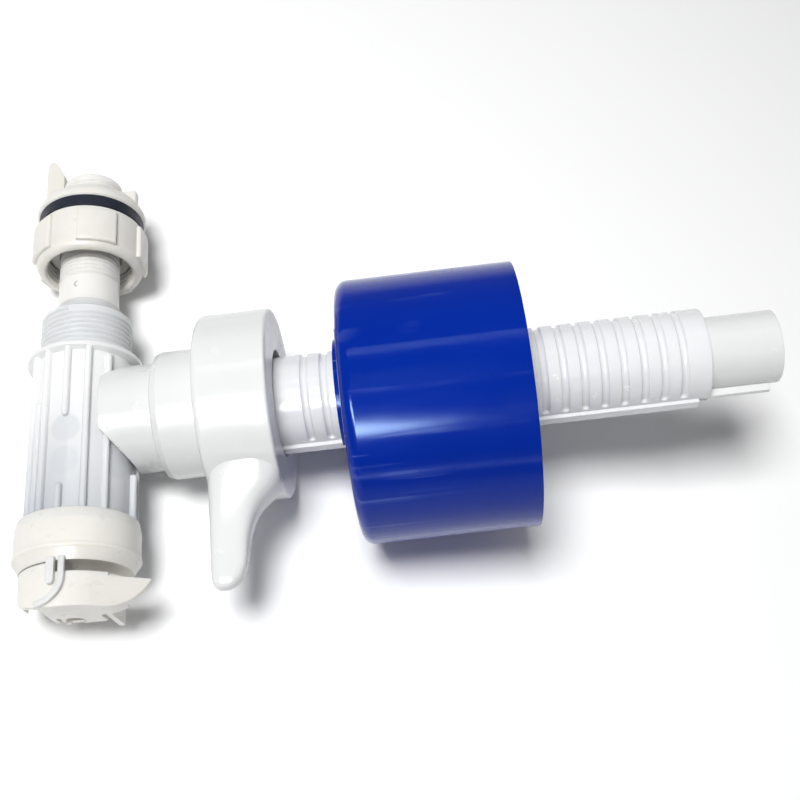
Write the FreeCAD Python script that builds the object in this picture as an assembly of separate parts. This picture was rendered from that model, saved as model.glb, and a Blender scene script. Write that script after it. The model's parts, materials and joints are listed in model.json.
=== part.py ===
import FreeCAD, Part
import math
import os
from FreeCAD import Vector

# Side-inlet float valve for a toilet tank, lying on its side at rest.
# It is drawn with the column along +X (float end positive), the inlet barrel along +Y
# and +Z up. The last step leans the column up by REST_TILT, so that the float's rim and
# the cap share one table, and puts the origin at the middle of the tank thread. All in mm.

REST_TILT = 13.7
ORIGIN_Y = 24.7

# inlet barrel, about the Y axis
BARREL_R = 13.3
BARREL_BORE_R = 11.5
RIB_R = 14.86
RIB_WIDTH = 1.7
RIB_TOP_Y = 16.8
RIB_LOW_Y = -31.6
FLANGE_R = 15.2
FLANGE_TOP_Y = 18.4
TANK_THREAD_R = 12.2
TANK_THREAD_TOP_Y = 31.0
TANK_THREAD_PITCH = 1.5
SHANK_R = 8.33
SHANK_BORE_R = 6.0
SHANK_FOOT_Y = 34.9
SHANK_TOP_Y = 79.0
SHANK_THREAD_LOW_Y = 43.0
SHANK_THREAD_PITCH = 1.337
TANK_THREAD_DEPTH = 0.8
SHANK_THREAD_DEPTH = 0.7
BARREL_WALL_Y = 16.0
SPIGOT_R = 12.6
SPIGOT_LOW_Y = -37.6
FULL_RIB_ANGLES = (-44.0, -24.0, 22.0, 112.0, 134.0, 156.0, 178.0, 200.0, 222.0, 244.0, 266.0)
SHORT_RIB_ANGLE = 0.0
SHORT_RIB_END_Y = -3.4
HALF_RIBS = ((-33.0, 2.0), (-3.0, -21.8), (89.0, -16.0), (44.0, 15.6))

# inside the inlet barrel
CAGE_R = 10.7
CAGE_RIM_R = 11.3
CAGE_BORE_R = 9.4
CAGE_LOW_Y = -21.5
CAGE_TOP_Y = 15.7
CAGE_SHOULDER_Y = 6.6
CAGE_WINDOWS = 6
CAGE_WINDOW_R = 4.1
CAGE_WINDOW_ROWS_Y = (-6.5, -15.5)
INLET_SEAT_R = 8.7
INLET_SEAT_BORE_R = 4.2
INLET_SEAT_LOW_Y = 13.4
STEM_R = 2.5
STEM_LOW_Y = -49.5
PLUG_R = 5.6
PLUG_LOW_Y = 3.0
PLUG_TIP_R = 3.4
STEM_CLIP_Y = -29.7

# end cap and flow regulator
CAP_R = 15.7
CAP_TOP_Y = -28.9
CAP_BEAD_Y = -38.4
CAP_LOW_Y = -42.0
CAP_LOW_R = 14.0
KNOB_R = 13.9
KNOB_TOP_Y = -42.3
KNOB_LOW_Y = -53.3
KNOB_WALL = 1.4
KNOB_WEB_TOP_Y = -44.8
KNOB_HUB_R = 4.9
KNOB_HUB_TOP_Y = -36.4
KNOB_BACK_Z = -1.5
KNOB_CLIP_Y = -38.05
SKIRT_STEP_X = -2.6
END_PLATE_LEFT_X = -5.2
TAB_BACK_Z = -2.4
FIN_X = 8.2
FIN_BACK_Z = -9.6
BLADE_ROOT_X = 7.4
BLADE_TIP_X = 19.9
BLADE_TIP_Z = 3.0
BLADE_STEP_X = 11.0
BLADE_STEP = 0.8
CAM_GAP = 0.3
CAM_THICKNESS = 1.1
CAM_FINGER_X = -1.3
CAM_FINGER_HALF = 1.0
CAM_RAIL_X = 1.4
CAM_RAIL_HALF = 0.7
CAM_TURN_Y = -46.2
CAM_TURN_R = 6.3

# branch, valve head and locking collar, about the X axis
BRANCH_R = 14.5
BRANCH_LEFT_X = 8.5
BRANCH_RIGHT_X = 21.9
BRANCH_BORE_R = 6.0
PORT_SPIGOT_R = 7.5
HEAD_R = 17.2
HEAD_SHOULDER_X = 34.6
HEAD_NECK_R = 16.4
HEAD_END_X = 39.2
HEAD_BORE_R = 15.0
SOCKET_R = 12.4
SOCKET_END_X = 44.5
PIPE_RING_X = 43.3
PIPE_RING_SECTION = 0.72
COLLAR_R = 25.4
COLLAR_LEFT_X = 34.9
COLLAR_RIGHT_X = 53.7
COLLAR_WALL = 2.2
COLLAR_LEFT_ROUND = 1.6
COLLAR_RIGHT_ROUND = 0.9
WING_TIP_Y = -50.6
WING_RINGS = 11
WING_RING_POINTS = 24
WING_SOFTNESS = 0.6

# servo valve in the head
SEAT_X = 23.4
SEAT_R = 7.4
CUP_R = 11.5
CUP_BORE_R = 10.2
CUP_LEFT_X = 26.5
CUP_END_X = 34.2
CUP_FLOOR = 1.4
PISTON_R = 9.9
PILOT_Y = 14.6
LEVER_PIVOT_X = 42.4
LEVER_PIVOT_Y = 20.2
LEVER_PIN_R = 1.0
LEVER_HALF_WIDTH = 2.5
LEVER_BOSS_R = 2.0
LEVER_LEFT_X = 41.2
PILOT_PAD_R = 1.7
PILOT_HOLE_R = 0.6
PISTON_LEFT_X = 25.1
PISTON_RIGHT_X = 30.2
PISTON_BOSS_R = 2.6
BLEED_R = 1.05

# down pipe, sleeve and float
PIPE_R = 9.65
PIPE_BORE_R = 7.6
PIPE_LEFT_X = 40.0
PIPE_RIGHT_X = 184.4
PIPE_RAIL_START_X = 56.0
PIPE_RAIL_END_X = 181.6
PIPE_RAIL_Y = 11.6
PIPE_RAIL_HALF = 0.7
RAIL_Z = -2.6
SLEEVE_R = 12.2
RAIL_GAP = 0.35
SLEEVE_BORE_R = 9.75
SLEEVE_LEFT_X = 46.5
SLEEVE_RIGHT_X = 165.4
SLEEVE_RAIL_Y = 13.2
SLEEVE_RAIL_HALF = 1.6
SLEEVE_RAIL_END_X = 162.7
GROOVE_COUNT = 20
GROOVE_FIRST_X = 61.4
GROOVE_PITCH = 5.11
GROOVE_R = 1.05
GROOVE_TOP_ANGLE = -5.5
GROOVE_LOW_ANGLE = 27.0
FLOAT_R = 34.8
FLOAT_LEFT_X = 72.0
FLOAT_RIGHT_X = 117.6
FLOAT_AXIS_Y = -5.4
FLOAT_WALL = 1.6
FLOAT_HUB_R = 15.2
FLOAT_BORE_R = 12.55

# tank fitting on the shank
NUT_R = 14.9
NUT_LOBE_R = 16.1
NUT_LOW_Y = 48.5
NUT_TOP_Y = 62.1
NUT_BORE_R = 11.8
NUT_LOW_ROUND = 2.2
NUT_PADS = 5
NUT_PAD_TOP_Y = 60.7
NUT_PAD_LOW_Y = 50.0
NUT_PAD_FIRST_ANGLE = 24.5
NUT_PAD_SPREAD = 41.0
SEAL_R = 14.8
SEAL_LOW_Y = 62.4
SEAL_TOP_Y = 65.8
FITTING_R = 15.3
FITTING_TOP_Y = 69.6
FITTING_SLEEVE_R = 11.5
FITTING_SLEEVE_LOW_Y = 53.5
FITTING_BORE_R = 8.65
FIN_TOP_Y = 90.0
SHORT_FIN_TOP_Y = 75.5

X_AXIS = Vector(1, 0, 0)
Y_AXIS = Vector(0, 1, 0)
Z_AXIS = Vector(0, 0, 1)


def box(x0, x1, y0, y1, z0, z1):
    return Part.makeBox(x1 - x0, y1 - y0, z1 - z0, Vector(x0, y0, z0))


def rod_x(radius, x0, x1, y=0.0, z=0.0):
    return Part.makeCylinder(radius, x1 - x0, Vector(x0, y, z), X_AXIS)


def rod_y(radius, y0, y1, x=0.0, z=0.0):
    return Part.makeCylinder(radius, y1 - y0, Vector(x, y0, z), Y_AXIS)


def rod_z(radius, z0, z1, x=0.0, y=0.0):
    return Part.makeCylinder(radius, z1 - z0, Vector(x, y, z0), Z_AXIS)


def tube_x(outer, inner, x0, x1):
    return rod_x(outer, x0, x1).cut(rod_x(inner, x0 - 1, x1 + 1))


def tube_y(outer, inner, y0, y1):
    return rod_y(outer, y0, y1).cut(rod_y(inner, y0 - 1, y1 + 1))


def turned_y(profile):
    """Solid of revolution about Y of a closed outline of (radius, y) points."""
    points = [Vector(r, y, 0) for r, y in profile]
    face = Part.Face(Part.makePolygon(points + points[:1]))
    return face.revolve(Vector(0, 0, 0), Y_AXIS, 360)


def turned_x(profile):
    """Solid of revolution about X of a closed outline of (x, radius) points."""
    points = [Vector(x, r, 0) for x, r in profile]
    face = Part.Face(Part.makePolygon(points + points[:1]))
    return face.revolve(Vector(0, 0, 0), X_AXIS, 360)


def turned_about_y(shape, degrees):
    """Copy of a shape turned about Y, where positive moves +Z towards +X."""
    turned = shape.copy()
    turned.rotate(Vector(0, 0, 0), Y_AXIS, degrees)
    return turned


def rounded(shape, radius, chosen):
    """Fillets the edges for which chosen(edge) is true."""
    edges = [edge for edge in shape.Edges if chosen(edge)]
    return shape.makeFillet(radius, edges)


def circle_edge_at(axis, position, radius):
    """A test for full round edges of this radius at this place along an axis."""

    def chosen(edge):
        if not isinstance(edge.Curve, Part.Circle):
            return False
        centre = edge.Curve.Center
        along = centre.x if axis == "x" else centre.y
        return abs(along - position) < 0.02 and abs(edge.Curve.Radius - radius) < 0.02

    return chosen


def thread_groove(radius, pitch, low, high, depth):
    """Helical V groove about Y that cuts a thread with flat crests into a rod."""
    crest_half = 0.5 * pitch - 0.22
    run_out = 0.3
    helix = Part.makeHelix(pitch, high - low, radius)
    slope = crest_half / depth
    profile = Part.makePolygon(
        [
            Vector(radius - depth, 0, -0.08),
            Vector(radius - depth, 0, 0.08),
            Vector(radius + run_out, 0, slope * (depth + run_out)),
            Vector(radius + run_out, 0, -slope * (depth + run_out)),
            Vector(radius - depth, 0, -0.08),
        ]
    )
    groove = Part.Wire(helix.Edges).makePipeShell([profile], True, True)
    groove.rotate(Vector(0, 0, 0), X_AXIS, -90)
    groove.translate(Vector(0, low, 0))
    return groove


def o_ring(axis, centre, ring_radius, section_radius):
    direction = X_AXIS if axis == "x" else Y_AXIS
    place = Vector(centre, 0, 0) if axis == "x" else Vector(0, centre, 0)
    return Part.makeTorus(ring_radius, section_radius, place, direction)


def barrel_rib(angle, low, high):
    """Lengthwise rib on the barrel with a round crest and round ends."""
    half = RIB_WIDTH / 2
    crest = RIB_R - half
    rib = box(-half, half, low + half, high - half, BARREL_R - 0.8, crest)
    rib = rib.fuse(rod_y(half, low + half, high - half, 0, crest))
    for end in (low + half, high - half):
        rib = rib.fuse(Part.makeSphere(half, Vector(0, end, crest)))
        rib = rib.fuse(rod_z(half, BARREL_R - 0.8, crest, 0, end))
    return turned_about_y(rib, angle)


def valve_barrel():
    body = turned_y(
        [
            (SHANK_BORE_R, SHANK_TOP_Y),
            (SHANK_R - 0.8, SHANK_TOP_Y),
            (SHANK_R, SHANK_TOP_Y - 0.8),
            (SHANK_R, SHANK_FOOT_Y + 0.6),
            (SHANK_R + 0.7, SHANK_FOOT_Y),
            (TANK_THREAD_R - 1.2, TANK_THREAD_TOP_Y + 0.9),
            (TANK_THREAD_R, TANK_THREAD_TOP_Y),
            (TANK_THREAD_R, FLANGE_TOP_Y),
            (FLANGE_R - 0.5, FLANGE_TOP_Y),
            (FLANGE_R, FLANGE_TOP_Y - 0.5),
            (FLANGE_R, RIB_TOP_Y),
            (BARREL_R, RIB_TOP_Y - 0.6),
            (BARREL_R, RIB_LOW_Y),
            (SPIGOT_R, RIB_LOW_Y - 0.4),
            (SPIGOT_R, SPIGOT_LOW_Y),
            (BARREL_BORE_R, SPIGOT_LOW_Y),
            (BARREL_BORE_R, BARREL_WALL_Y),
            (SHANK_BORE_R, BARREL_WALL_Y),
        ]
    )
    ribs = [barrel_rib(a, RIB_LOW_Y, RIB_TOP_Y + 0.4) for a in FULL_RIB_ANGLES]
    ribs.append(barrel_rib(SHORT_RIB_ANGLE, SHORT_RIB_END_Y, RIB_TOP_Y + 0.4))
    ribs.extend(barrel_rib(a, RIB_LOW_Y, top) for a, top in HALF_RIBS)
    body = body.fuse(ribs)
    body = body.cut(rod_x(PORT_SPIGOT_R + 0.1, 0, BARREL_R + 3))
    tank_low = FLANGE_TOP_Y + 1.4
    tank_high = TANK_THREAD_TOP_Y - 1.1
    tank_thread = thread_groove(TANK_THREAD_R, TANK_THREAD_PITCH, tank_low, tank_high, TANK_THREAD_DEPTH)
    shank_high = SHANK_TOP_Y - 2.0
    shank_low = SHANK_THREAD_LOW_Y
    shank_thread = thread_groove(SHANK_R, SHANK_THREAD_PITCH, shank_low, shank_high, SHANK_THREAD_DEPTH)
    return body.cut(tank_thread).cut(shank_thread)


def filter_cage():
    """Inner cage that holds the filter screen, with two rows of round windows."""
    cage = tube_y(CAGE_R, CAGE_BORE_R, CAGE_LOW_Y, CAGE_TOP_Y)
    cage = cage.fuse(tube_y(CAGE_RIM_R, CAGE_BORE_R, CAGE_SHOULDER_Y, CAGE_TOP_Y))
    cage = cage.fuse(tube_y(CAGE_RIM_R, CAGE_BORE_R, CAGE_LOW_Y, CAGE_LOW_Y + 1.6))
    for step in range(CAGE_WINDOWS):
        for row_y in CAGE_WINDOW_ROWS_Y:
            window = rod_z(CAGE_WINDOW_R, CAGE_BORE_R - 1.4, CAGE_RIM_R + 1.2, 0, row_y)
            cage = cage.cut(turned_about_y(window, 360 / CAGE_WINDOWS * step))
    return cage.cut(rod_x(PORT_SPIGOT_R - 1.2, 5, 14))


def filter_screen():
    return tube_y(CAGE_BORE_R - 0.1, CAGE_BORE_R - 0.5, CAGE_LOW_Y + 0.2, CAGE_TOP_Y - 0.2)


def inlet_seat():
    """Washer under the shank's mouth that the regulator plug closes against."""
    return tube_y(INLET_SEAT_R, INLET_SEAT_BORE_R, INLET_SEAT_LOW_Y, BARREL_WALL_Y - 0.05)


def regulator_stem():
    """Rod through the knob and the cap, with a cone plug on its inner end."""
    stem = rod_y(STEM_R, STEM_LOW_Y, PLUG_LOW_Y)
    plug_top = PLUG_LOW_Y + 5.8
    rim_y = PLUG_LOW_Y + 1.6
    rim = (PLUG_R, rim_y)
    tip = (PLUG_TIP_R, plug_top)
    plug = turned_y([(0, PLUG_LOW_Y), (PLUG_R, PLUG_LOW_Y), rim, tip, (0, plug_top)])
    groove = tube_y(STEM_R + 1, STEM_R - 0.7, STEM_CLIP_Y - 0.9, STEM_CLIP_Y + 0.9)
    return stem.fuse(plug).cut(groove)


def stem_clip():
    """Spring clip in the stem's groove."""
    clip = tube_y(STEM_R + 2.0, STEM_R - 0.55, STEM_CLIP_Y - 0.7, STEM_CLIP_Y + 0.7)
    return clip.cut(box(-1.1, 1.1, STEM_CLIP_Y - 1.3, STEM_CLIP_Y + 1.7, 0, 8))


def end_cap():
    return turned_y(
        [
            (KNOB_HUB_R + 0.06, CAP_LOW_Y),
            (CAP_LOW_R, CAP_LOW_Y),
            (CAP_R - 0.15, CAP_BEAD_Y - 0.9),
            (CAP_R + 0.2, CAP_BEAD_Y - 0.5),
            (CAP_R + 0.2, CAP_BEAD_Y + 0.1),
            (CAP_R, CAP_BEAD_Y + 0.5),
            (CAP_R, CAP_TOP_Y - 2.7),
            (CAP_R - 0.45, CAP_TOP_Y),
            (RIB_R + 0.08, CAP_TOP_Y),
            (RIB_R + 0.08, RIB_LOW_Y - 0.3),
            (SPIGOT_R + 0.06, RIB_LOW_Y - 0.6),
            (SPIGOT_R + 0.06, CAP_LOW_Y + 2.4),
            (KNOB_HUB_R + 0.06, CAP_LOW_Y + 2.4),
        ]
    )


def cap_o_ring():
    return o_ring("y", SPIGOT_LOW_Y - 0.95, 11.9, 0.9)


def cam_track():
    """Two clear fingers under the cap's rim: a plain stop and one that curls left under the knob."""
    inner = KNOB_R + CAM_GAP
    outer = inner + CAM_THICKNESS
    half = CAM_FINGER_HALF
    finger_x = CAM_FINGER_X
    finger_low = CAP_LOW_Y - 6.0
    root_y = CAP_LOW_Y + 0.6
    finger = box(finger_x - half, finger_x + half, finger_low + half, root_y, 5, 20)
    finger = finger.fuse(rod_z(half, 5, 20, finger_x, finger_low + half))
    rail_x = CAM_RAIL_X
    rail_half = CAM_RAIL_HALF
    turn = CAM_TURN_R
    rail = box(rail_x - rail_half, rail_x + rail_half, CAM_TURN_Y, root_y, 5, 20)
    centre = (rail_x - turn, CAM_TURN_Y)
    arc = rod_z(turn + rail_half, 5, 20, *centre).cut(rod_z(turn - rail_half, 5, 20, *centre))
    low = CAM_TURN_Y - turn - rail_half
    arc = arc.common(box(centre[0], rail_x + rail_half, low, CAM_TURN_Y, 5, 20))
    shell = tube_y(outer, inner, KNOB_LOW_Y - 1, CAP_LOW_Y + 1)
    rail = rail.fuse(arc).common(shell)
    return finger.common(shell).fuse(rail).cut(end_cap())


def knob_outline():
    """Prism along Z of the knob's outline from the front: rounded at the lower left, swept at the right."""
    top = -35.0
    left = -KNOB_R - 0.1
    left_corner = Vector(left, -46.8, 0)
    foot = Vector(0, KNOB_LOW_Y, 0)
    heel = Vector(9.5, KNOB_LOW_Y, 0)
    tip = Vector(BLADE_TIP_X, KNOB_WEB_TOP_Y - BLADE_STEP, 0)
    corner_bow = Part.BezierCurve()
    corner_bow.setPoles([left_corner, Vector(left + 0.2, -50.2, 0), Vector(-8.5, KNOB_LOW_Y, 0), foot])
    sweep_bow = Part.BezierCurve()
    sweep_bow.setPoles([heel, Vector(15.0, KNOB_LOW_Y, 0), Vector(18.0, -49.5, 0), tip])
    edges = [
        Part.makeLine(Vector(left, top, 0), left_corner),
        corner_bow.toShape(),
        Part.makeLine(foot, heel),
        sweep_bow.toShape(),
        Part.makeLine(tip, Vector(tip.x, top, 0)),
        Part.makeLine(Vector(tip.x, top, 0), Vector(left, top, 0)),
    ]
    prism = Part.Face(Part.Wire(edges)).extrude(Vector(0, 0, 40))
    prism.translate(Vector(0, 0, -20))
    return prism


def knob_blade():
    """Flat blade that leaves the skirt nearly along its tangent, and the end plate's corner behind it."""
    root_z = math.sqrt(KNOB_R ** 2 - BLADE_ROOT_X ** 2)
    tip = Vector(BLADE_TIP_X, 0, BLADE_TIP_Z)
    root = Vector(BLADE_ROOT_X, 0, root_z)
    along = (tip - root).normalize()
    inward = Vector(along.z, 0, -along.x) * KNOB_WALL
    corners = [root, tip, tip + inward, root + inward]
    section = Part.makePolygon([Vector(c.x, KNOB_LOW_Y, c.z) for c in corners + corners[:1]])
    blade = Part.Face(section).extrude(Vector(0, KNOB_WEB_TOP_Y - KNOB_LOW_Y, 0))
    step_y = KNOB_WEB_TOP_Y - BLADE_STEP
    blade = blade.cut(box(BLADE_STEP_X, 30, step_y, 0, -10, 20))
    gusset = [root, tip, Vector(BLADE_ROOT_X, 0, BLADE_TIP_Z)]
    base = Part.makePolygon([Vector(c.x, KNOB_LOW_Y, c.z) for c in gusset + gusset[:1]])
    return blade.fuse(Part.Face(base).extrude(Vector(0, KNOB_WALL, 0)))


def regulator_knob():
    """Quarter-turn knob: hub, web, half skirt with an end plate, and a swept blade on the right."""
    low = KNOB_LOW_Y - 1
    hub = rod_y(KNOB_HUB_R, KNOB_LOW_Y + 1, KNOB_HUB_TOP_Y)
    web = rod_y(KNOB_R, KNOB_WEB_TOP_Y - 1.6, KNOB_WEB_TOP_Y)
    web = web.common(box(-20, 20, low, 0, KNOB_BACK_Z, 20))
    skirt = tube_y(KNOB_R, KNOB_R - KNOB_WALL, KNOB_LOW_Y, KNOB_TOP_Y)
    left = skirt.common(box(-20, SKIRT_STEP_X, low, 0, KNOB_BACK_Z, 20))
    front = skirt.common(box(SKIRT_STEP_X - 0.1, BLADE_ROOT_X + 0.2, low, KNOB_WEB_TOP_Y, 0, 20))
    end_plate = rod_y(KNOB_R - 0.2, KNOB_LOW_Y, KNOB_LOW_Y + KNOB_WALL)
    end_plate = end_plate.common(box(END_PLATE_LEFT_X, BLADE_ROOT_X + 0.2, low, 0, BLADE_TIP_Z, 20))
    side_right = END_PLATE_LEFT_X + KNOB_WALL
    side_rib = box(END_PLATE_LEFT_X, side_right, KNOB_LOW_Y, KNOB_WEB_TOP_Y - 1, KNOB_BACK_Z, 12.8)
    tab = box(SKIRT_STEP_X, BLADE_ROOT_X, KNOB_LOW_Y, KNOB_LOW_Y + 2.6, TAB_BACK_Z, BLADE_TIP_Z + 0.5)
    fin = box(FIN_X, FIN_X + KNOB_WALL, KNOB_LOW_Y + 0.4, KNOB_WEB_TOP_Y - 1, FIN_BACK_Z, BLADE_TIP_Z + 4)
    knob = hub.fuse([web, left, front, end_plate, side_rib, tab, fin, knob_blade()])
    knob = knob.common(knob_outline())
    knob = knob.cut(rod_y(STEM_R + 0.3, -60, 0))
    return knob.cut(tube_y(KNOB_HUB_R + 1, KNOB_HUB_R - 0.7, KNOB_CLIP_Y - 0.55, KNOB_CLIP_Y + 0.55))


def knob_clip():
    """Spring clip above the cap's floor that keeps the knob in."""
    clip = tube_y(KNOB_HUB_R + 2.2, KNOB_HUB_R - 0.6, -38.5, -37.6)
    return clip.cut(box(-1.6, 1.6, -39, -37, 0, 9))


def outlet_branch():
    """Socket on the barrel's side, with a spigot into its port and the main seat at its far end."""
    body = rod_x(BRANCH_R, BRANCH_LEFT_X, BRANCH_RIGHT_X)
    body = body.cut(rod_y(RIB_R + 0.1, -30, 30))
    inside_x = SEAT_X - 5.4
    body = body.fuse(rod_x(PORT_SPIGOT_R, BARREL_BORE_R - 0.1, inside_x))
    body = body.fuse(tube_x(SEAT_R + 0.8, BRANCH_BORE_R, inside_x, SEAT_X - 0.6))
    body = body.fuse(tube_x(SEAT_R, BRANCH_BORE_R, inside_x, SEAT_X))
    return body.cut(rod_x(BRANCH_BORE_R, 0, 30))


def branch_o_ring():
    return o_ring("x", 13.2, PORT_SPIGOT_R + 0.75, 0.6)


def valve_head():
    """Housing of the servo valve: barrel wall, necked end wall and the down pipe's socket."""
    head = turned_x(
        [
            (BRANCH_RIGHT_X, 8.4),
            (BRANCH_RIGHT_X, HEAD_R - 2.2),
            (BRANCH_RIGHT_X + 0.65, HEAD_R - 0.65),
            (BRANCH_RIGHT_X + 2.2, HEAD_R),
            (HEAD_SHOULDER_X, HEAD_R),
            (HEAD_SHOULDER_X, HEAD_NECK_R),
            (HEAD_END_X, HEAD_NECK_R),
            (HEAD_END_X, SOCKET_R),
            (SOCKET_END_X, SOCKET_R),
            (SOCKET_END_X, PIPE_R + 0.06),
            (PIPE_LEFT_X - 0.1, PIPE_R + 0.06),
            (PIPE_LEFT_X - 0.1, PIPE_BORE_R),
            (37.4, PIPE_BORE_R),
            (34.6, HEAD_BORE_R),
            (BRANCH_RIGHT_X + 1.3, HEAD_BORE_R),
            (BRANCH_RIGHT_X + 1.3, 8.4),
        ]
    )
    ear = box(HEAD_END_X - 0.3, 44.4, 14.2, 20.2, 2.9, 4.6)
    ear = ear.fuse(rod_z(2.0, 2.9, 4.6, LEVER_PIVOT_X, LEVER_PIVOT_Y))
    other = ear.mirror(Vector(0, 0, 0), Z_AXIS)
    nozzle = rod_x(1.5, HEAD_END_X - 0.5, HEAD_END_X + 0.6, PILOT_Y)
    head = head.fuse([ear, other, nozzle])
    head = head.cut(rod_z(LEVER_PIN_R + 0.02, -6, 6, LEVER_PIVOT_X, LEVER_PIVOT_Y))
    clip_groove = tube_x(HEAD_NECK_R + 1, HEAD_NECK_R - 0.6, 37.9, 38.9)
    gland_half = PIPE_RING_SECTION + 0.03
    gland = tube_x(PIPE_R + 2 * gland_half + 0.1, PIPE_R, PIPE_RING_X - gland_half, PIPE_RING_X + gland_half)
    return head.cut([clip_groove, gland, rod_x(PILOT_HOLE_R, 30, 42, PILOT_Y)])


def collar_clip():
    """Spring ring that keeps the locking collar on the head."""
    ring = tube_x(HEAD_NECK_R + 1.8, HEAD_NECK_R - 0.55, 37.95, 38.85)
    return ring.cut(box(37, 40, -20, -14, -2, 2))


def servo_cup():
    """Pilot chamber, held in the head on four ribs. The upper rib carries the pilot passage."""
    cup = rod_x(CUP_R, CUP_LEFT_X, CUP_END_X)
    for step in range(4):
        rib = box(CUP_LEFT_X + 0.8, CUP_END_X, 8, HEAD_BORE_R - 0.06, -1.6, 1.6)
        rib.rotate(Vector(0, 0, 0), X_AXIS, 90 * step)
        cup = cup.fuse(rib)
    cup = cup.cut(rod_x(CUP_BORE_R, CUP_LEFT_X - 1, CUP_END_X - CUP_FLOOR))
    cup = cup.cut(rod_y(PILOT_HOLE_R, 8, PILOT_Y + 0.4, CUP_END_X - 2.6))
    cup = cup.common(rod_x(HEAD_BORE_R - 0.06, 20, 40))
    return cup.cut(rod_x(PILOT_HOLE_R, CUP_END_X - 2.6, CUP_END_X + 1, PILOT_Y))


def metering_pin():
    """Thin pin from the cup's floor through the piston, which keeps its bleed hole clean."""
    base = rod_x(PISTON_BOSS_R - 0.2, CUP_END_X - 2.4, CUP_END_X - CUP_FLOOR)
    return base.fuse(rod_x(BLEED_R - 0.35, SEAT_X - 1.5, CUP_END_X - 2))


def servo_piston():
    body = rod_x(PISTON_R, PISTON_LEFT_X, PISTON_RIGHT_X)
    body = body.cut(tube_x(PISTON_R + 1, PISTON_R - 1.3, PISTON_LEFT_X + 2.1, PISTON_RIGHT_X - 1.3))
    body = body.cut(rod_x(PISTON_R - 2.6, PISTON_LEFT_X + 2.3, PISTON_RIGHT_X + 1))
    body = body.fuse(rod_x(PISTON_BOSS_R, PISTON_LEFT_X + 1.5, PISTON_RIGHT_X))
    return body.cut(rod_x(BLEED_R, 20, 40))


def piston_ring():
    """Lip ring that seals the piston in its cup."""
    return tube_x(CUP_BORE_R - 0.05, PISTON_R - 1.25, PISTON_LEFT_X + 2.2, PISTON_RIGHT_X - 1.4)


def seat_washer():
    return tube_x(SEAT_R + 1.2, BLEED_R, SEAT_X + 0.06, PISTON_LEFT_X)


def pilot_lever():
    """Bent lever whose tail the sleeve pushes and whose short arm holds the pad on the nozzle."""
    half = LEVER_HALF_WIDTH
    boss = rod_z(LEVER_BOSS_R, -half, half, LEVER_PIVOT_X, LEVER_PIVOT_Y)
    arm = box(LEVER_LEFT_X, LEVER_LEFT_X + 2.4, PILOT_Y - 1.5, LEVER_PIVOT_Y, -half, half)
    shoulder = Vector(LEVER_PIVOT_X + 0.2, LEVER_PIVOT_Y + 1.4, -half)
    tail = Part.makePolygon(
        [
            shoulder,
            shoulder + Vector(1.7, -1.0, 0),
            shoulder + Vector(3.6, -8.2, 0),
            shoulder + Vector(3.6, -11.0, 0),
            shoulder + Vector(2.4, -11.0, 0),
            shoulder + Vector(2.3, -8.0, 0),
            shoulder + Vector(0, -3.0, 0),
            shoulder,
        ]
    )
    lever = boss.fuse([arm, Part.Face(tail).extrude(Vector(0, 0, 2 * half))])
    return lever.cut(rod_z(LEVER_PIN_R + 0.06, -6, 6, LEVER_PIVOT_X, LEVER_PIVOT_Y))


def pilot_pad():
    """Rubber pad on the lever that closes the pilot nozzle."""
    return rod_x(PILOT_PAD_R, HEAD_END_X + 0.7, LEVER_LEFT_X, PILOT_Y)


def lever_pin():
    return rod_z(LEVER_PIN_R, -4.6, 4.6, LEVER_PIVOT_X, LEVER_PIVOT_Y)


def bow(*points):
    """Edge along a smooth bow between the first and the last of these points."""
    curve = Part.BezierCurve()
    curve.setPoles(list(points))
    return curve.toShape()


def wing_outline():
    """Prism of the finger wing's front outline: a straight left edge flush with the collar, a rounded
    tip, and a hollow right edge that flares out to the collar's right rim."""
    start = Vector(COLLAR_LEFT_X + 0.1, -10, 0)
    foot = Vector(COLLAR_LEFT_X + 0.1, -45.0, 0)
    tip = Vector(37.8, WING_TIP_Y, 0)
    side = Vector(44.2, -43.6, 0)
    waist = Vector(45.7, -35.6, 0)
    flare = Vector(49.4, -29.3, 0)
    rim = Vector(COLLAR_RIGHT_X - 0.3, -26.5, 0)
    edges = [
        Part.makeLine(start, foot),
        bow(foot, Vector(COLLAR_LEFT_X + 0.1, -49.6, 0), Vector(35.7, WING_TIP_Y, 0), tip),
        bow(tip, Vector(41.6, WING_TIP_Y, 0), Vector(43.6, -47.6, 0), side),
        bow(side, Vector(44.6, -41.0, 0), Vector(44.7, -38.4, 0), waist),
        bow(waist, Vector(46.5, -33.0, 0), Vector(47.4, -30.6, 0), flare),
        bow(flare, Vector(51.0, -28.2, 0), Vector(52.6, -27.6, 0), rim),
        Part.makeLine(rim, Vector(rim.x, -10, 0)),
        Part.makeLine(Vector(rim.x, -10, 0), start),
    ]
    blank = Part.Face(Part.Wire(edges)).extrude(Vector(0, 0, 50))
    blank.translate(Vector(0, 0, -25))
    return blank


def wing_side():
    """Prism of the wing's side profile: nearly 6 mm thick, round at its tip and flared at its root."""
    front_root = Vector(0, -12, 22)
    front_end = Vector(0, -46, 6.2)
    nose = Vector(0, WING_TIP_Y - 0.1, 3.2)
    back_end = Vector(0, -46, 0.4)
    back_root = Vector(0, -12, -9)
    edges = [
        bow(front_root, Vector(0, -21, 13.0), Vector(0, -26, 8.9), front_end),
        bow(front_end, Vector(0, -49.4, 5.8), Vector(0, nose.y, 5.2), nose),
        bow(nose, Vector(0, nose.y, 1.2), Vector(0, -49.4, 0.4), back_end),
        bow(back_end, Vector(0, -30, 0.2), Vector(0, -24, -3.5), back_root),
        Part.makeLine(back_root, front_root),
    ]
    slab = Part.Face(Part.Wire(edges)).extrude(Vector(40, 0, 0))
    slab.translate(Vector(25, 0, 0))
    return slab


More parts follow.
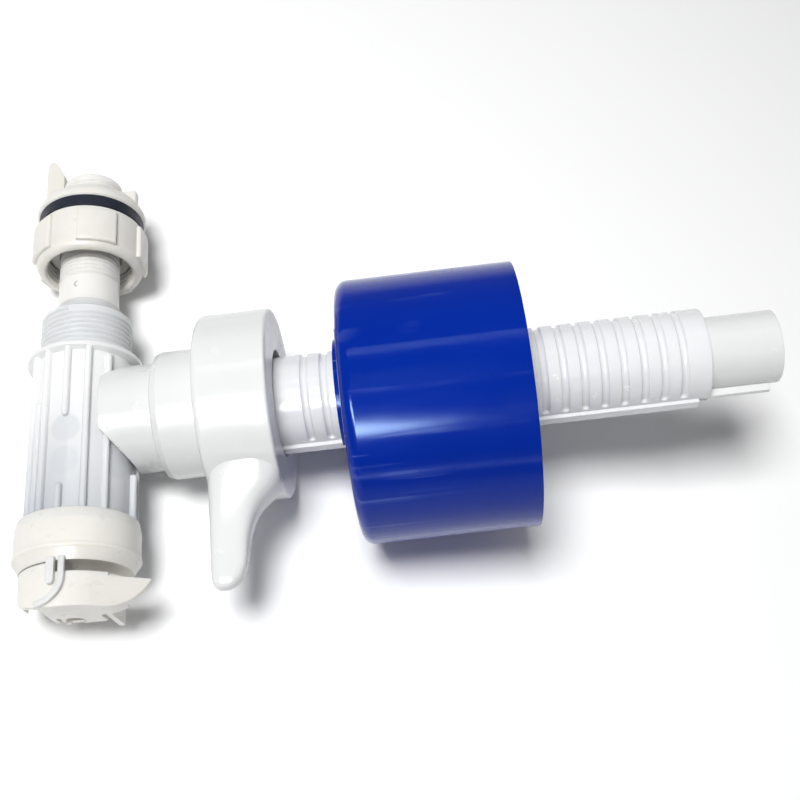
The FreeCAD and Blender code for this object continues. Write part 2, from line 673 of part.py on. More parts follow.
def wing_ring(blank, y):
    """Closed smooth curve that fills the blank's cross-section at this height with rounded corners."""
    span = blank.slice(Y_AXIS, y)[0].BoundBox
    points = []
    for n in range(WING_RING_POINTS):
        angle = 2 * math.pi * n / WING_RING_POINTS
        across = math.copysign(abs(math.cos(angle)) ** WING_SOFTNESS, math.cos(angle))
        deep = math.copysign(abs(math.sin(angle)) ** WING_SOFTNESS, math.sin(angle))
        x = span.Center.x + span.XLength / 2 * across
        z = span.Center.z + span.ZLength / 2 * deep
        points.append(Vector(x, y, z))
    ring = Part.BSplineCurve()
    ring.interpolate(points, PeriodicFlag=True)
    return Part.Wire(ring.toShape())


def collar_wing():
    """Finger wing lofted through rings that close up towards its tip."""
    blank = wing_outline().common(wing_side())
    low, high = WING_TIP_Y + 0.06, -14.0
    steps = [n / WING_RINGS for n in range(WING_RINGS + 1)]
    rings = [wing_ring(blank, low + (high - low) * step ** 1.8) for step in steps]
    wing = Part.makeLoft(rings, True)
    return wing.common(box(COLLAR_LEFT_X, COLLAR_RIGHT_X - 0.2, WING_TIP_Y - 1, 0, -20, 30))


def locking_collar():
    outer = rod_x(COLLAR_R, COLLAR_LEFT_X, COLLAR_RIGHT_X)
    outer = rounded(outer, COLLAR_LEFT_ROUND, circle_edge_at("x", COLLAR_LEFT_X, COLLAR_R))
    outer = rounded(outer, COLLAR_RIGHT_ROUND, circle_edge_at("x", COLLAR_RIGHT_X, COLLAR_R))
    shell = outer.fuse(collar_wing())
    cavity_left = COLLAR_LEFT_X + COLLAR_WALL
    cavity_right = COLLAR_RIGHT_X - COLLAR_WALL
    cavity = rod_x(COLLAR_R - COLLAR_WALL, cavity_left, cavity_right)
    shell = shell.cut(cavity).cut(rod_x(HEAD_NECK_R + 0.1, 30, 45))
    return shell.cut(rod_x(SLEEVE_RAIL_Y + 1.1, 45, 60))


def down_pipe():
    pipe = rod_x(PIPE_R, PIPE_LEFT_X, PIPE_RIGHT_X)
    low, high = RAIL_Z - PIPE_RAIL_HALF, RAIL_Z + PIPE_RAIL_HALF
    pipe = pipe.fuse(box(PIPE_RAIL_START_X, PIPE_RAIL_END_X, -PIPE_RAIL_Y, -8.5, low, high))
    return pipe.cut(rod_x(PIPE_BORE_R, PIPE_LEFT_X - 1, PIPE_RIGHT_X + 1))


def pipe_o_ring():
    return o_ring("x", PIPE_RING_X, PIPE_R + 0.1 + PIPE_RING_SECTION, PIPE_RING_SECTION)


def groove_cutter():
    """Round groove over most of the sleeve's girth that ends short of the rail on both sides."""
    centre_r = SLEEVE_R + 0.25
    section = Part.Face(Part.Wire(Part.makeCircle(GROOVE_R, Vector(0, -centre_r, 0), Z_AXIS)))
    section.rotate(Vector(0, 0, 0), X_AXIS, GROOVE_LOW_ANGLE)
    cutter = section.revolve(Vector(0, 0, 0), X_AXIS, 360 + GROOVE_TOP_ANGLE - GROOVE_LOW_ANGLE)
    for turn in (GROOVE_LOW_ANGLE, GROOVE_TOP_ANGLE):
        end = Part.makeSphere(GROOVE_R, Vector(0, -centre_r, 0))
        end.rotate(Vector(0, 0, 0), X_AXIS, turn)
        cutter = cutter.fuse(end)
    return cutter


def sleeve_length(x0, x1, groove_x=None):
    """Plain stretch of the sleeve's tube, with one groove if it is given a place for it."""
    length = tube_x(SLEEVE_R, SLEEVE_BORE_R, x0, x1)
    if groove_x is None:
        return length
    cutter = groove_cutter()
    cutter.translate(Vector(groove_x, 0, 0))
    return length.cut(cutter)


def float_sleeve():
    """Tube in lengths of one groove each, joined end to end, with a slotted rail along its near side."""
    half = GROOVE_PITCH / 2
    places = [GROOVE_FIRST_X + GROOVE_PITCH * n for n in range(GROOVE_COUNT)]
    lengths = [sleeve_length(SLEEVE_LEFT_X, places[0] - half)]
    lengths += [sleeve_length(x - half, x + half, x) for x in places]
    lengths.append(sleeve_length(places[-1] + half, SLEEVE_RIGHT_X))
    low, high = RAIL_Z - SLEEVE_RAIL_HALF, RAIL_Z + SLEEVE_RAIL_HALF
    rail = box(SLEEVE_LEFT_X, SLEEVE_RAIL_END_X, -SLEEVE_RAIL_Y, -8, low, high)
    rail = rail.cut(rod_x(SLEEVE_BORE_R, 0, 200))
    sleeve = lengths[0].fuse(lengths[1:] + [rail])
    slot = PIPE_RAIL_HALF + RAIL_GAP
    return sleeve.cut(box(0, 200, -PIPE_RAIL_Y - RAIL_GAP, -8, RAIL_Z - slot, RAIL_Z + slot))


def float_rod(radius, x0, x1):
    return rod_x(radius, x0, x1, FLOAT_AXIS_Y)


def sleeve_passage(x0, x1):
    """Room for the sleeve and its rail, with running space all round."""
    half = SLEEVE_RAIL_HALF + RAIL_GAP
    passage = rod_x(FLOAT_BORE_R, x0, x1)
    return passage.fuse(box(x0, x1, -SLEEVE_RAIL_Y - RAIL_GAP, 0, RAIL_Z - half, RAIL_Z + half))


def float_shell():
    """Cup of the float, closed at its left end, with a hub that slides on the sleeve."""
    outer = float_rod(FLOAT_R, FLOAT_LEFT_X, FLOAT_RIGHT_X)
    outer = rounded(outer, 3.0, circle_edge_at("x", FLOAT_LEFT_X, FLOAT_R))
    hollow = float_rod(FLOAT_R - FLOAT_WALL, FLOAT_LEFT_X + FLOAT_WALL, FLOAT_RIGHT_X + 1)
    hollow = rounded(hollow, 2.0, circle_edge_at("x", FLOAT_LEFT_X + FLOAT_WALL, FLOAT_R - FLOAT_WALL))
    hub = rod_x(FLOAT_HUB_R, FLOAT_LEFT_X, FLOAT_RIGHT_X - 3.0)
    low, high = RAIL_Z - SLEEVE_RAIL_HALF - 2.2, RAIL_Z + SLEEVE_RAIL_HALF + 2.2
    hub = hub.fuse(box(FLOAT_LEFT_X, FLOAT_RIGHT_X - 3.0, -SLEEVE_RAIL_Y - 2.2, 0, low, high))
    shell = outer.cut(hollow).fuse(hub)
    for step in range(6):
        rib = box(FLOAT_LEFT_X + 1, FLOAT_RIGHT_X - 12, 15.0, FLOAT_R - 1, -0.7, 0.7)
        rib.rotate(Vector(0, 0, 0), X_AXIS, 60 * step + 30)
        rib.translate(Vector(0, FLOAT_AXIS_Y, 0))
        shell = shell.fuse(rib.common(float_rod(FLOAT_R - 1, 0, 200)))
    return shell.cut(sleeve_passage(0, 200))


def float_lid():
    """Welded lid, set in from the float's sharp right rim, with a raised ring for stiffness."""
    lid = float_rod(FLOAT_R - FLOAT_WALL - 0.03, FLOAT_RIGHT_X - 2.9, FLOAT_RIGHT_X - 1.1)
    ring = float_rod(27.0, FLOAT_RIGHT_X - 2.9, FLOAT_RIGHT_X - 0.4)
    ring = ring.cut(float_rod(24.6, 0, 200))
    return lid.fuse(ring).cut(sleeve_passage(0, 200))


def float_clip():
    """Spring clip at the float's left mouth that snaps into the sleeve's grooves."""
    clip = tube_x(FLOAT_HUB_R, SLEEVE_R + 0.1, FLOAT_LEFT_X - 2.6, FLOAT_LEFT_X - 0.03)
    half = SLEEVE_RAIL_HALF + 2.6
    clip = clip.cut(box(0, 200, -30, 0, RAIL_Z - half, RAIL_Z + half))
    ear = box(FLOAT_LEFT_X - 2.6, FLOAT_LEFT_X - 0.03, 14.4, 18.6, -4.0, 4.0)
    return clip.fuse(ear)


def nut_pad(angle):
    """Low grip pad on the nut, with rounded edges."""
    inner_r = NUT_R - 1.2
    outline = [Vector(inner_r, NUT_PAD_LOW_Y, 0), Vector(NUT_LOBE_R, NUT_PAD_LOW_Y, 0)]
    outline += [Vector(NUT_LOBE_R, NUT_PAD_TOP_Y, 0), Vector(inner_r, NUT_PAD_TOP_Y, 0)]
    face = Part.Face(Part.makePolygon(outline + outline[:1]))
    pad = face.revolve(Vector(0, 0, 0), Y_AXIS, NUT_PAD_SPREAD)
    pad = rounded(pad, 0.7, on_pad_face)
    return turned_about_y(pad, angle - NUT_PAD_SPREAD / 2 - 90)


def on_pad_face(edge):
    """True for an edge that lies on the outer face of a grip pad."""
    return all(abs(math.hypot(v.X, v.Z) - NUT_LOBE_R) < 0.01 for v in edge.Vertexes)


def lock_nut():
    blank = rod_y(NUT_R, NUT_LOW_Y, NUT_TOP_Y)
    blank = rounded(blank, NUT_LOW_ROUND, circle_edge_at("y", NUT_LOW_Y, NUT_R))
    blank = rounded(blank, 0.4, circle_edge_at("y", NUT_TOP_Y, NUT_R))
    pads = [nut_pad(NUT_PAD_FIRST_ANGLE + 360 / NUT_PADS * step) for step in range(NUT_PADS)]
    nut = blank.fuse(pads)
    nut = nut.cut(rod_y(NUT_BORE_R, NUT_LOW_Y - 1, NUT_TOP_Y + 1))
    lead_top = NUT_LOW_Y + 0.7
    lead = turned_y([(0, NUT_LOW_Y), (NUT_BORE_R + 0.7, NUT_LOW_Y), (NUT_BORE_R, lead_top), (0, lead_top)])
    nut = nut.cut(lead)
    turns = [o_ring("y", NUT_LOW_Y + 1.8 + 1.5 * n, NUT_BORE_R, 0.45) for n in range(7)]
    return nut.cut(turns)


def tank_seal():
    return tube_y(SEAL_R, FITTING_SLEEVE_R + 0.3, SEAL_LOW_Y, SEAL_TOP_Y)


def tall_fin():
    """Thin finger fin on the left of the flange, rounded at its crest and highest near its outer edge."""
    base = FITTING_TOP_Y - 0.5
    outer = -13.8
    inner = -FITTING_BORE_R - 0.05
    shoulder = Vector(outer, FIN_TOP_Y - 2.4, 0)
    flank = Vector(-11.3, FIN_TOP_Y - 0.9, 0)
    foot = Vector(inner, FIN_TOP_Y - 6.0, 0)
    crest_bow = Part.BezierCurve()
    crest_left = Vector(outer, FIN_TOP_Y - 0.4, 0)
    crest_right = Vector(-12.4, FIN_TOP_Y + 0.7, 0)
    crest_bow.setPoles([shoulder, crest_left, crest_right, flank])
    flank_bow = Part.BezierCurve()
    flank_bow.setPoles([flank, Vector(-10.2, FIN_TOP_Y - 2.5, 0), Vector(-9.1, FIN_TOP_Y - 4.4, 0), foot])
    edges = [
        crest_bow.toShape(),
        flank_bow.toShape(),
        Part.makeLine(foot, Vector(inner, base, 0)),
        Part.makeLine(Vector(inner, base, 0), Vector(outer, base, 0)),
        Part.makeLine(Vector(outer, base, 0), shoulder),
    ]
    fin = Part.Face(Part.Wire(edges)).extrude(Vector(0, 0, 3.0))
    fin.translate(Vector(0, 0, -1.5))
    return fin


def short_fin():
    """Low lug opposite the tall fin."""
    return box(FITTING_BORE_R, 13.2, FITTING_TOP_Y - 0.5, SHORT_FIN_TOP_Y, -1.5, 1.5)


def tank_fitting():
    body = turned_y(
        [
            (FITTING_BORE_R, FITTING_SLEEVE_LOW_Y),
            (FITTING_SLEEVE_R - 0.6, FITTING_SLEEVE_LOW_Y),
            (FITTING_SLEEVE_R, FITTING_SLEEVE_LOW_Y + 0.6),
            (FITTING_SLEEVE_R, SEAL_TOP_Y + 0.05),
            (FITTING_R - 0.5, SEAL_TOP_Y + 0.05),
            (FITTING_R, SEAL_TOP_Y + 0.5),
            (FITTING_R, SEAL_TOP_Y + 2.0),
            (FITTING_R - 0.9, FITTING_TOP_Y),
            (11.0, FITTING_TOP_Y),
            (10.4, FITTING_TOP_Y + 1.0),
            (FITTING_BORE_R, FITTING_TOP_Y + 1.0),
        ]
    )
    body = body.fuse([tall_fin(), short_fin()])
    return body.cut(rod_y(FITTING_BORE_R, 40, 100))


NODES = {
    "valve_barrel": valve_barrel,
    "filter_cage": filter_cage,
    "filter_screen": filter_screen,
    "inlet_seat": inlet_seat,
    "regulator_stem": regulator_stem,
    "stem_clip": stem_clip,
    "end_cap": end_cap,
    "cap_o_ring": cap_o_ring,
    "cam_track": cam_track,
    "regulator_knob": regulator_knob,
    "knob_clip": knob_clip,
    "outlet_branch": outlet_branch,
    "branch_o_ring": branch_o_ring,
    "valve_head": valve_head,
    "collar_clip": collar_clip,
    "servo_cup": servo_cup,
    "metering_pin": metering_pin,
    "servo_piston": servo_piston,
    "piston_ring": piston_ring,
    "seat_washer": seat_washer,
    "pilot_lever": pilot_lever,
    "pilot_pad": pilot_pad,
    "lever_pin": lever_pin,
    "locking_collar": locking_collar,
    "down_pipe": down_pipe,
    "pipe_o_ring": pipe_o_ring,
    "float_sleeve": float_sleeve,
    "float_shell": float_shell,
    "float_lid": float_lid,
    "float_clip": float_clip,
    "lock_nut": lock_nut,
    "tank_seal": tank_seal,
    "tank_fitting": tank_fitting,
}


def placed(shape):
    """Leans the drawing into its rest pose, with the tank thread's middle at the origin."""
    turned = shape.copy()
    turned.translate(Vector(0, -ORIGIN_Y, 0))
    turned.rotate(Vector(0, 0, 0), Y_AXIS, -REST_TILT)
    return turned


def main():
    os.makedirs("parts", exist_ok=True)
    for name, build in NODES.items():
        shape = placed(build())
        shape.exportStep(os.path.join("parts", name + ".step"))
        print(name, "solids", len(shape.Solids), "valid", shape.isValid(), "mm3", round(shape.Volume, 1))


main()
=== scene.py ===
import json
import math

import bpy
from mathutils import Matrix, Quaternion, Vector


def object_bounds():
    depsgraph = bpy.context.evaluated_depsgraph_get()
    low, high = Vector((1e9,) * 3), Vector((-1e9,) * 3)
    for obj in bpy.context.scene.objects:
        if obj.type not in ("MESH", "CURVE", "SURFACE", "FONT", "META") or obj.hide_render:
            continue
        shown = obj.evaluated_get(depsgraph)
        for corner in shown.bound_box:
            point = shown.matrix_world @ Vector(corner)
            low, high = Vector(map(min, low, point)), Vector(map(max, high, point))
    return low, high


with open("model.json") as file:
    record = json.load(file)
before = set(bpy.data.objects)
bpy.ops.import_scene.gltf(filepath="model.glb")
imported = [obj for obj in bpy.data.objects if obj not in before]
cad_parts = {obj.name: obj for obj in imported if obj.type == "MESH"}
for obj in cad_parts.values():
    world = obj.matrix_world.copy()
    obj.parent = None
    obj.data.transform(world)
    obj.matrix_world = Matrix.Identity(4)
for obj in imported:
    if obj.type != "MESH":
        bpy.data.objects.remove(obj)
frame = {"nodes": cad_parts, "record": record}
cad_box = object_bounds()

# A toilet fill valve on a white table. The column leans up by TILT, because the float's rim and the cap
# share the table. Textures read each piece's own coordinates, in metres, so they ride with the piece.

MM = 0.001
TILT = math.radians(13.7)
THREAD_MIDDLE_Y = 24.7
TABLE_Z = cad_box[0].z

COLUMN_AXIS = Vector((math.cos(TILT), 0, math.sin(TILT)))
COLUMN_UP = Vector((-math.sin(TILT), 0, math.cos(TILT)))
BARREL_AXIS = Vector((0, 1, 0))

EDGE_SOFTNESS = 0.28 * MM


def upright(x, y, z):
    """Place in the row frame, in metres, of a point given in mm along the column, the barrel and upward."""
    return (COLUMN_AXIS * x + BARREL_AXIS * (y - THREAD_MIDDLE_Y) + COLUMN_UP * z) * MM


# small marks on the barrel, in mm along the column, the barrel and upward; both are painted as shade
GATE_MARK = (-0.7, 40.2, 8.3)
GATE_RADIUS = 0.95
GATE_HOLLOW_RADIUS = 0.85
GATE_HOLLOW_SHIFT = Vector((0.55, 0, 0.1))
WINDOW_ROWS = (-6.5, -15.5)
WINDOW_ANGLES = (-60, 0, 60)
WINDOW_RADIUS = 3.9
WINDOW_DEPTH = 14

# where the barrel's tone changes along its axis, in mm from the thread's middle; the low and thread spans
# are painted shade
LOW_PAINTED_SHADE = (-20, -56)
THREAD_PAINTED_SHADE = (-7.5, -6)
SHANK_TONE = (8, 12)
TRACK_TONE = (-63, -66)

# ---------------------------------------------------------------- materials


class Finish:
    """A Principled material with short ways to add detail to it."""

    def __init__(self, name, colour, roughness, **sockets):
        self.material = bpy.data.materials.new(name)
        self.material.use_nodes = True
        self.tree = self.material.node_tree
        self.shader = self.tree.nodes["Principled BSDF"]
        self.set("Base Color", (*colour, 1))
        self.set("Roughness", roughness)
        for socket, value in sockets.items():
            self.set(socket.replace("_", " "), value)
        self.colour = (*colour, 1)
        self.place = self.node("ShaderNodeTexCoord").outputs["Object"]
        lean = self.node("ShaderNodeMapping")
        lean.inputs["Rotation"].default_value = (0, TILT, 0)
        self.link(self.place, lean.inputs["Vector"])
        self.along = lean.outputs["Vector"]
        self.height = None

    def node(self, kind):
        return self.tree.nodes.new(kind)

    def link(self, source, target):
        self.tree.links.new(source, target)

    def set(self, socket, value):
        self.shader.inputs[socket].default_value = value

    def math(self, operation, first, second):
        node = self.node("ShaderNodeMath")
        node.operation = operation
        for socket, value in zip(node.inputs, (first, second)):
            if isinstance(value, (int, float)):
                socket.default_value = value
            else:
                self.link(value, socket)
        return node.outputs[0]

    def noise(self, scale, detail=3.0, stretch=(1, 1, 1), turn=(0, 0, 0), warp=0.0):
        """Noise with this many features per metre, stretched along the column, the barrel and up."""
        mapping = self.node("ShaderNodeMapping")
        mapping.inputs["Scale"].default_value = stretch
        mapping.inputs["Rotation"].default_value = turn
        self.link(self.along, mapping.inputs["Vector"])
        noise = self.node("ShaderNodeTexNoise")
        noise.inputs["Scale"].default_value = scale
        noise.inputs["Detail"].default_value = detail
        noise.inputs["Distortion"].default_value = warp
        self.link(mapping.outputs["Vector"], noise.inputs["Vector"])
        return noise.outputs["Fac"]

    def between(self, source, low, high, out_low=0.0, out_high=1.0):
        """Source mapped from low..high to out_low..out_high, held at the ends."""
        node = self.node("ShaderNodeMapRange")
        for socket, value in zip(node.inputs[1:5], (low, high, out_low, out_high)):
            socket.default_value = value
        self.link(source, node.inputs[0])
        return node.outputs[0]

    def tint(self, mask, colour):
        """Colours the surface where the mask is 1."""
        mix = self.node("ShaderNodeMix")
        mix.data_type = "RGBA"
        self.link(mask, mix.inputs["Factor"])
        target = self.shader.inputs["Base Color"]
        if target.is_linked:
            self.link(target.links[0].from_socket, mix.inputs["A"])
        else:
            mix.inputs["A"].default_value = self.colour
        mix.inputs["B"].default_value = (*colour, 1)
        self.link(mix.outputs["Result"], target)

    def rough(self, source):
        self.link(source, self.shader.inputs["Roughness"])

    def raise_by(self, source, depth):
        """Adds source times depth, in metres, to the surface's fine relief."""
        part = self.math("MULTIPLY", source, depth)
        self.height = part if self.height is None else self.math("ADD", self.height, part)

    def spread(self, axis):
        """The place along the column (X), the barrel (Y) or upward (Z), in metres."""
        parts = self.node("ShaderNodeSeparateXYZ")
        self.link(self.along, parts.inputs[0])
        return parts.outputs[axis]

    def from_to(self, axis, start, end):
        """0 up to one place along an axis and 1 past the other, both in mm."""
        return self.between(self.spread(axis), start * MM, end * MM)

    def near(self, place, radius):
        """1 within this radius, in metres, of a place in the row frame, and 0 beyond it."""
        gap = self.node("ShaderNodeVectorMath")
        gap.operation = "DISTANCE"
        self.link(self.place, gap.inputs[0])
        gap.inputs[1].default_value = place
        return self.between(gap.outputs["Value"], radius * 1.12, radius * 0.88)

    def done(self):
        edges = self.node("ShaderNodeBevel")
        edges.samples = 4
        edges.inputs["Radius"].default_value = EDGE_SOFTNESS
        self.link(edges.outputs["Normal"], self.shader.inputs["Normal"])
        if self.height is not None:
            bump = self.node("ShaderNodeBump")
            bump.inputs["Distance"].default_value = 1.0
            self.link(self.height, bump.inputs["Height"])
            self.link(edges.outputs["Normal"], bump.inputs["Normal"])
            self.link(bump.outputs["Normal"], self.shader.inputs["Normal"])
        return self.material


def moulded(finish, wave=0.010 * MM, grain=0.0012 * MM):
    """Relief of a moulded plastic: slow sink waves and a very fine mould grain."""
    finish.raise_by(finish.noise(85, 2), wave)
    finish.raise_by(finish.noise(3200, 2), grain)


def scuffed(finish, colour, amount):
    """Sparse fine rub marks, grouped where the part was handled."""
    marks = finish.noise(900, 3, stretch=(0.4, 1.0, 1.0), turn=(0.3, 0.2, 0.5), warp=0.5)
    groups = finish.between(finish.noise(75, 1), 0.58, 0.66)
    fine = finish.between(marks, 0.68, 0.73, 0, amount)
    finish.tint(finish.math("MULTIPLY", fine, groups), colour)


def white_plastic():
    finish = Finish("white_plastic", (0.705, 0.715, 0.71), 0.18, Subsurface_Weight=0.18)
    finish.set("Subsurface Radius", (1.0, 0.95, 0.9))
    finish.set("Subsurface Scale", 1.6 * MM)
    finish.set("IOR", 1.5)
    finish.tint(finish.between(finish.noise(30, 3), 0.40, 0.75, 0, 0.55), (0.675, 0.685, 0.675))
    scuffed(finish, (0.30, 0.28, 0.25), 0.6)
    finish.rough(finish.between(finish.noise(160, 5), 0.3, 0.75, 0.15, 0.30))
    moulded(finish)
    finish.raise_by(finish.between(finish.noise(900, 2, stretch=(1, 0.04, 0.04)), 0.62, 0.70), -0.002 * MM)
    return finish.done()


def natural_pp():
    finish = Finish("natural_pp", (0.735, 0.72, 0.675), 0.3, Subsurface_Weight=0.5)
    finish.set("Subsurface Radius", (1.0, 0.9, 0.72))
    finish.set("Subsurface Scale", 2.6 * MM)
    finish.set("IOR", 1.49)
    finish.tint(finish.between(finish.noise(70, 4, warp=1.0), 0.42, 0.72, 0, 0.7), (0.69, 0.67, 0.62))
    finish.tint(finish.between(finish.noise(600, 3), 0.70, 0.78, 0, 0.35), (0.72, 0.705, 0.66))
    scuffed(finish, (0.45, 0.40, 0.33), 0.5)
    finish.rough(finish.between(finish.noise(240, 4), 0.3, 0.7, 0.26, 0.42))
    moulded(finish, 0.016 * MM, 0.002 * MM)
    return finish.done()


def clear_pp():
    """Cloudy clear plastic, creamy on the shank, with painted shade: darker towards the cap, greyer on the
    thread, faint darker circles at the cage windows.
    """
    finish = Finish("clear_pp", (0.90, 0.905, 0.905), 0.2, Transmission_Weight=0.14, Subsurface_Weight=0.6)
    finish.set("Subsurface Radius", (0.95, 1.0, 1.0))
    finish.set("Subsurface Scale", 3.0 * MM)
    finish.set("IOR", 1.49)
    # painted shade: the barrel is painted darker towards the cap, where the light falls off
    finish.tint(finish.from_to("Y", *LOW_PAINTED_SHADE), (0.50, 0.525, 0.56))
    streaks = finish.noise(45, 3, stretch=(1, 0.35, 1))
    finish.tint(finish.between(streaks, 0.4, 0.7, 0, 0.5), (0.84, 0.855, 0.865))
    # painted shade: each cage window behind the wall is painted as a faint darker circle
    for window_y in WINDOW_ROWS:
        for angle in WINDOW_ANGLES:
            turn = math.radians(angle)
            middle = upright(WINDOW_DEPTH * math.sin(turn), window_y, WINDOW_DEPTH * math.cos(turn))
            window_shade = finish.near(middle, WINDOW_RADIUS * MM)
            finish.tint(finish.math("MULTIPLY", window_shade, 0.45), (0.60, 0.635, 0.67))
    # painted shade: the threaded part is painted greyer, as the shade of the hollow behind its wall shows
    # through
    finish.tint(finish.from_to("Y", *THREAD_PAINTED_SHADE), (0.76, 0.775, 0.785))
    # the cam track is painted lighter again, which takes most of the painted shade back off it
    finish.tint(finish.from_to("Y", *TRACK_TONE), (0.82, 0.83, 0.83))
    finish.tint(finish.from_to("Y", *SHANK_TONE), (0.87, 0.86, 0.825))
    # painted shade: a dark crescent on one side of the gate mark
    gate = finish.near(upright(*GATE_MARK), GATE_RADIUS * MM)
    inside = finish.near(upright(*GATE_MARK) + GATE_HOLLOW_SHIFT * MM, GATE_HOLLOW_RADIUS * MM)
    gate_shade = finish.math("SUBTRACT", gate, inside)
    finish.tint(finish.between(gate_shade, 0, 1, 0, 0.6), (0.30, 0.29, 0.27))
    finish.rough(finish.between(finish.noise(300, 4, stretch=(1, 0.3, 1)), 0.3, 0.7, 0.14, 0.27))
    moulded(finish, 0.014 * MM, 0.001 * MM)
    return finish.done()


def sleeve_pp():
    finish = Finish("sleeve_pp", (0.83, 0.835, 0.845), 0.2, Subsurface_Weight=0.35, Transmission_Weight=0.12)
    finish.set("Subsurface Radius", (1.0, 0.98, 0.95))
    finish.set("Subsurface Scale", 2.0 * MM)
    finish.set("IOR", 1.49)
    clouds = finish.noise(60, 3, stretch=(0.4, 1, 1))
    finish.tint(finish.between(clouds, 0.4, 0.7, 0, 0.6), (0.78, 0.79, 0.81))
    finish.rough(finish.between(finish.noise(260, 4), 0.3, 0.7, 0.14, 0.28))
    moulded(finish, 0.012 * MM)
    return finish.done()


def inner_acetal():
    finish = Finish("inner_acetal", (0.86, 0.86, 0.85), 0.35, Subsurface_Weight=0.2)
    finish.set("Subsurface Scale", 1.5 * MM)
    finish.tint(finish.between(finish.noise(90, 3), 0.4, 0.7, 0, 0.5), (0.80, 0.805, 0.80))
    finish.rough(finish.between(finish.noise(400, 3), 0.3, 0.7, 0.25, 0.45))
    moulded(finish)
    return finish.done()


def blue_plastic():
    """Deep blue moulding, rubbed lengthwise on its left half, with a few stray scratches."""
    finish = Finish("blue_plastic", (0.0, 0.018, 0.27), 0.19, IOR=1.45)
    finish.set("Specular IOR Level", 0.3)
    finish.set("Specular Tint", (0.5, 0.72, 1.0, 1))
    finish.tint(finish.between(finish.noise(26, 3), 0.38, 0.72, 0, 0.6), (0.0, 0.014, 0.22))
    rubs = finish.noise(300, 6, stretch=(0.03, 1.0, 1.0))
    left_half = finish.between(finish.spread("X"), 112 * MM, 78 * MM, 0.35, 1.0)
    patch = finish.math("MULTIPLY", finish.between(finish.noise(34, 2), 0.44, 0.62), left_half)
    lines = finish.math("MULTIPLY", finish.between(rubs, 0.58, 0.68), patch)
    cross = finish.between(finish.noise(620, 2, stretch=(1.0, 0.02, 0.02), turn=(0.9, 0.6, 0.4)), 0.70, 0.75)
    arcs = finish.between(finish.noise(420, 2, stretch=(0.05, 1, 1), turn=(0, 0.5, 0.9)), 0.69, 0.74)
    stray = finish.math("MULTIPLY", finish.math("MAXIMUM", cross, arcs), patch)
    worn = finish.math("MAXIMUM", lines, stray)
    finish.tint(finish.math("MULTIPLY", worn, 0.22), (0.20, 0.30, 0.66))
    base = finish.between(finish.noise(190, 5, stretch=(0.3, 1, 1)), 0.3, 0.75, 0.13, 0.21)
    finish.rough(finish.math("ADD", base, finish.math("MULTIPLY", worn, 0.2)))
    fibres = finish.noise(2100, 3, stretch=(0.06, 1, 1))
    finish.raise_by(fibres, 0.0024 * MM)
    finish.raise_by(worn, -0.004 * MM)
    finish.raise_by(finish.noise(70, 2), 0.008 * MM)
    return finish.done()


def black_rubber():
    finish = Finish("black_rubber", (0.010, 0.013, 0.026), 0.5)
    finish.tint(finish.between(finish.noise(500, 4), 0.5, 0.8, 0, 0.5), (0.032, 0.036, 0.046))
    finish.rough(finish.between(finish.noise(700, 3), 0.3, 0.7, 0.40, 0.62))
    finish.raise_by(finish.noise(1800, 4), 0.010 * MM)
    return finish.done()


def steel():
    finish = Finish("steel", (0.62, 0.62, 0.61), 0.3, Metallic=1.0)
    finish.tint(finish.between(finish.noise(800, 3), 0.45, 0.7, 0, 0.6), (0.50, 0.50, 0.49))
    finish.rough(finish.between(finish.noise(1500, 3, stretch=(1, 0.1, 1)), 0.3, 0.7, 0.22, 0.42))
    finish.raise_by(finish.noise(4000, 2, stretch=(1, 0.1, 1)), 0.001 * MM)
    return finish.done()


def filter_mesh():
    """Fine woven screen: threads round and along the barrel, half a millimetre apart."""
    finish = Finish("filter_mesh", (0.80, 0.81, 0.82), 0.45)
    wave = finish.node("ShaderNodeTexWave")
    wave.bands_direction = "Y"
    wave.inputs["Scale"].default_value = 620
    finish.link(finish.along, wave.inputs["Vector"])
    upright_wave = finish.node("ShaderNodeTexWave")
    upright_wave.bands_direction = "X"
    upright_wave.inputs["Scale"].default_value = 620
    finish.link(finish.along, upright_wave.inputs["Vector"])
    weave = finish.math("MAXIMUM", wave.outputs["Fac"], upright_wave.outputs["Fac"])
    finish.tint(finish.between(weave, 0.75, 0.35), (0.42, 0.44, 0.47))
    finish.raise_by(weave, 0.05 * MM)
    return finish.done()


FINISHES = {
    "clear_pp": clear_pp(),
    "natural_pp": natural_pp(),
    "white_plastic": white_plastic(),
    "sleeve_pp": sleeve_pp(),
    "blue_plastic": blue_plastic(),
    "inner_acetal": inner_acetal(),
    "filter_mesh": filter_mesh(),
    "black_rubber": black_rubber(),
    "steel": steel(),
}


def dress_cad_nodes():
    """Gives every CAD node the finish that the record names for it."""
    for part in frame["record"]["subparts"]:
        slots = frame["nodes"][part["node"]].data.materials
        slots.clear()
        slots.append(FINISHES[part["material_slot"]])


# ---------------------------------------------------------------- camera, table and light


CAMERA_PLACE = Vector((29.58, -153.26, 267.27)) * MM
CAMERA_AIM = Vector((90.61, -9.46, -16.1)) * MM
CAMERA_ROLL = math.radians(19.94)
LENS_MM = 47.88
LIGHT_DISTANCE = 0.85
TABLE_HALF = 2.0


def turned_to(forward, right):
    """Rotation whose -Z is forward and whose +X is right."""
    up = right.cross(forward)
    return Matrix((right, up, -forward)).transposed()


def make_camera():
    data = bpy.data.cameras.new("camera")
    data.lens = LENS_MM
    data.clip_start = 0.01
    camera = bpy.data.objects.new("camera", data)
    forward = (CAMERA_AIM - CAMERA_PLACE).normalized()
    level = forward.cross(Vector((0, 0, 1))).normalized()
    right = Matrix.Rotation(-CAMERA_ROLL, 3, forward) @ level
    camera.matrix_world = Matrix.Translation(CAMERA_PLACE) @ turned_to(forward, right).to_4x4()
    bpy.context.scene.collection.objects.link(camera)
    bpy.context.scene.camera = camera


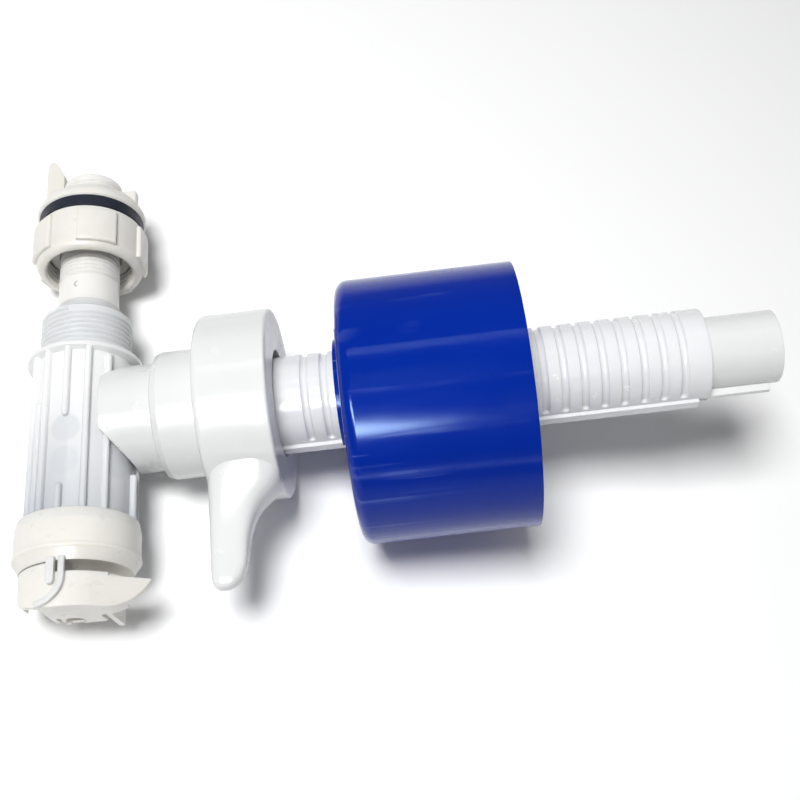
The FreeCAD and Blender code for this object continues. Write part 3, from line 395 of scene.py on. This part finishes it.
def make_table():
    mesh = bpy.data.meshes.new("table")
    half = TABLE_HALF
    corners = [(-half, -half, 0), (half, -half, 0), (half, half, 0), (-half, half, 0)]
    mesh.from_pydata(corners, [], [(0, 1, 2, 3)])
    table = bpy.data.objects.new("table", mesh)
    table.location.z = TABLE_Z
    finish = Finish("table", (0.95, 0.95, 0.95), 0.5)
    finish.tint(finish.between(finish.noise(20, 3), 0.4, 0.7, 0, 0.5), (0.94, 0.94, 0.94))
    mesh.materials.append(finish.done())
    bpy.context.scene.collection.objects.link(table)


def softbox(name, azimuth, elevation, size, watts, for_gloss, roll=0):
    """Rectangular light that faces the float, either seen only as a highlight or never seen as one.

    Azimuth 0 is on the -Y side and 90 on the +X side. The roll is in degrees."""
    data = bpy.data.lights.new(name, "AREA")
    data.shape = "RECTANGLE"
    data.size, data.size_y = size
    data.energy = watts
    light = bpy.data.objects.new(name, data)
    around, up = math.radians(azimuth), math.radians(elevation)
    aim = upright(80, 0, 0)
    away = Vector((math.sin(around) * math.cos(up), -math.cos(around) * math.cos(up), math.sin(up)))
    light.location = aim + away * LIGHT_DISTANCE
    light.rotation_mode = "QUATERNION"
    spin = Quaternion((0, 0, 1), math.radians(roll))
    light.rotation_quaternion = (-away).to_track_quat("-Z", "Y") @ spin
    light.visible_glossy = for_gloss
    light.visible_diffuse = not for_gloss
    bpy.context.scene.collection.objects.link(light)


def make_light():
    """High soft key light from the left, and strips that are only seen as highlights."""
    world = bpy.data.worlds.new("studio")
    world.use_nodes = True
    background = world.node_tree.nodes["Background"]
    background.inputs["Color"].default_value = (0.97, 0.98, 1.0, 1)
    background.inputs["Strength"].default_value = 0.2
    bpy.context.scene.world = world
    softbox("key", -74, 72, (0.26, 0.26), 8.3, False)
    softbox("front_strip", -38, 50, (0.5, 0.10), 9.0, True, roll=-14)
    softbox("thin_strip", 180, 66, (0.9, 0.016), 0.6, True)
    softbox("low_strip", -10, 10, (0.6, 0.04), 0.25, True)
    bpy.context.scene.view_settings.view_transform = "Standard"


dress_cad_nodes()
make_camera()
make_table()
make_light()
